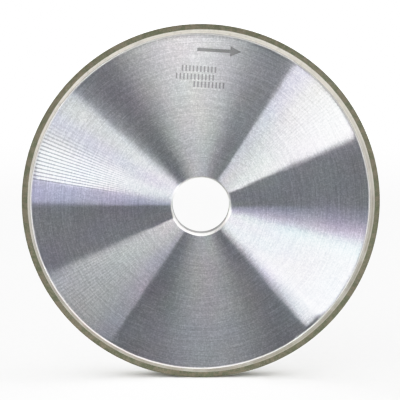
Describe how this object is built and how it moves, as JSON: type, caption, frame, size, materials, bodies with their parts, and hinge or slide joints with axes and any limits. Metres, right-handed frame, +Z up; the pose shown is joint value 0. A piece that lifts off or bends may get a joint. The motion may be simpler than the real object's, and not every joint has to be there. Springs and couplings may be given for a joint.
{
  "type": "diamond grinding wheel",
  "caption": "Flat round grinding wheel with a turned aluminium core, a plain chamfered bore, a pale backing layer and a narrow olive diamond rim.",
  "frame": {"origin": "centre of the bore, half way between the two faces", "axes": "+Y along the wheel's axis from the marked face to the back face, +Z up, so the marking is at the top of the face that looks toward -Y"},
  "size_m": [0.2, 0.01, 0.2],
  "materials": {
    "core": "fine turned, with concentric tool lines",
    "bond_coat": "matt dark resin coat",
    "backing": "matt filled resin, cream and faintly mottled",
    "abrasive": "matt gritty olive resin with coated diamond"
  },
  "bodies": {
    "root": {"core": "core", "bond_coat": "bond_coat", "backing_ring": "backing", "abrasive_rim": "abrasive"}
  },
  "joints": []
}
